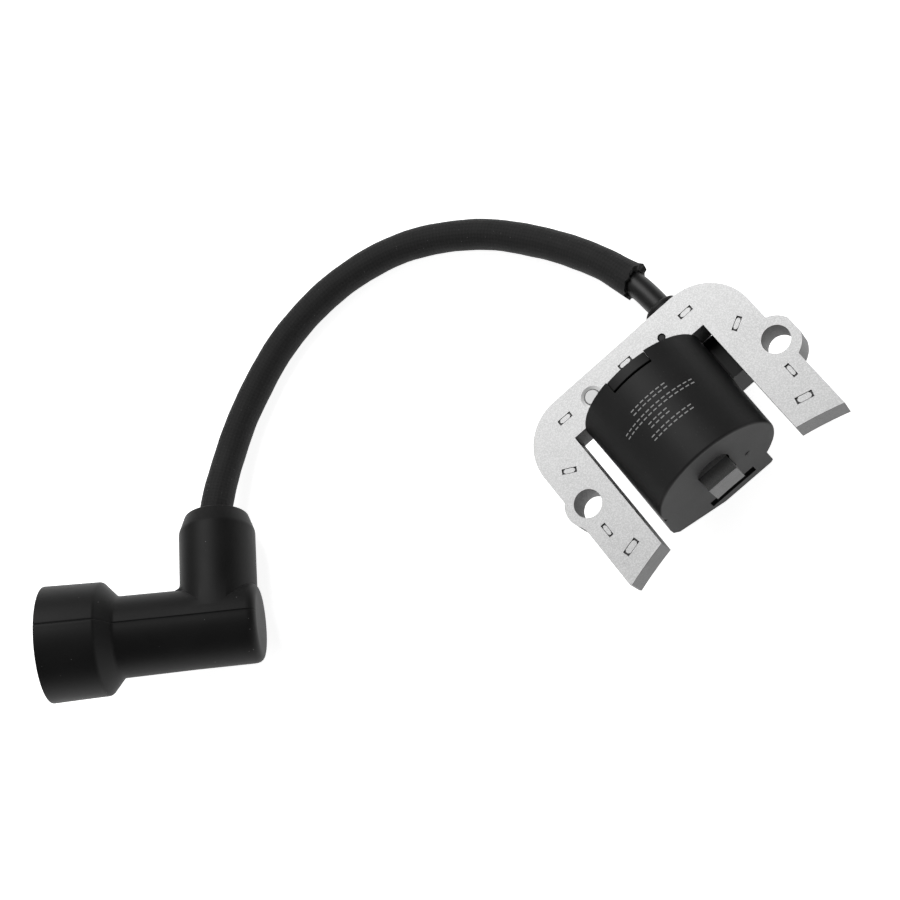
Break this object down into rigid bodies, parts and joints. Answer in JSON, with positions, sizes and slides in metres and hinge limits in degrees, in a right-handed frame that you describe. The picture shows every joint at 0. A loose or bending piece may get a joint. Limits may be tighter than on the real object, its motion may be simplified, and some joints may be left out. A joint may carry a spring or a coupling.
{
  "type": "ignition coil",
  "caption": "Small-engine ignition coil: three-legged laminated core, round moulded coil on the centre leg, sleeved plug lead and right-angle rubber plug boot.",
  "frame": {"origin": "midway between the two mounting holes, on the rear (seating) face of the steel core", "axes": "+X to the right leg seen from the printed side, +Y towards the core's yoke (legs point to -Y), +Z out of the front face; lengths in metres"},
  "size_m": [0.2465, 0.1577, 0.0526],
  "materials": {
    "core_steel": "bare punched electrical steel, matt grey, darker sheared edges",
    "rivet_steel": "plain steel",
    "tinned_metal": "tin-plated",
    "case_plastic": "black glass-filled thermoplastic, satin",
    "bobbin_plastic": "black glass-filled thermoplastic",
    "resin": "black epoxy potting",
    "copper": "enamelled copper wire",
    "board": "glass-epoxy circuit board",
    "film": "dipped film capacitor",
    "chip_plastic": "moulded epoxy package",
    "lead_rubber": "black silicone or EPDM lead insulation, smooth",
    "sleeve_braid": "black varnished glass-fibre sleeving",
    "boot_rubber": "black moulded rubber, satin",
    "insert_plastic": "black thermoset",
    "terminal_brass": "bare brass"
  },
  "bodies": {
    "module": {"core_stack": "core_steel", "core_front_lamination": "core_steel", "core_rear_lamination": "core_steel", "ground_rivet": "rivet_steel", "locating_peg": "case_plastic", "ground_strap": "tinned_metal", "coil_case": "case_plastic", "bobbin_latch": "bobbin_plastic", "potting_resin": "resin", "primary_bobbin": "bobbin_plastic", "primary_winding": "copper", "secondary_bobbin": "bobbin_plastic", "secondary_winding": "copper", "circuit_board": "board", "storage_capacitor": "film", "power_transistor": "chip_plastic", "control_chip": "chip_plastic", "chip_resistors": "chip_plastic", "kill_terminal": "tinned_metal", "ht_feed_pin": "tinned_metal", "ht_tower": "case_plastic", "ht_contact": "tinned_metal", "lead_grommet": "case_plastic", "lead_conductor": "copper", "lead_insulation": "lead_rubber", "lead_sleeve": "sleeve_braid", "lead_ferrule": "tinned_metal"},
    "boot": {"plug_boot": "boot_rubber", "boot_insert": "insert_plastic", "contact_rod": "tinned_metal", "plug_terminal": "terminal_brass", "terminal_spring": "rivet_steel"}
  },
  "joints": [
    {"name": "boot_swivel", "type": "hinge", "parent": "module", "child": "boot", "pos_m": [-0.15065, 0.0544, -0.00085], "axis": [0.4615, 0.8753, -0.1444], "range_deg": [-90, 90]}
  ]
}
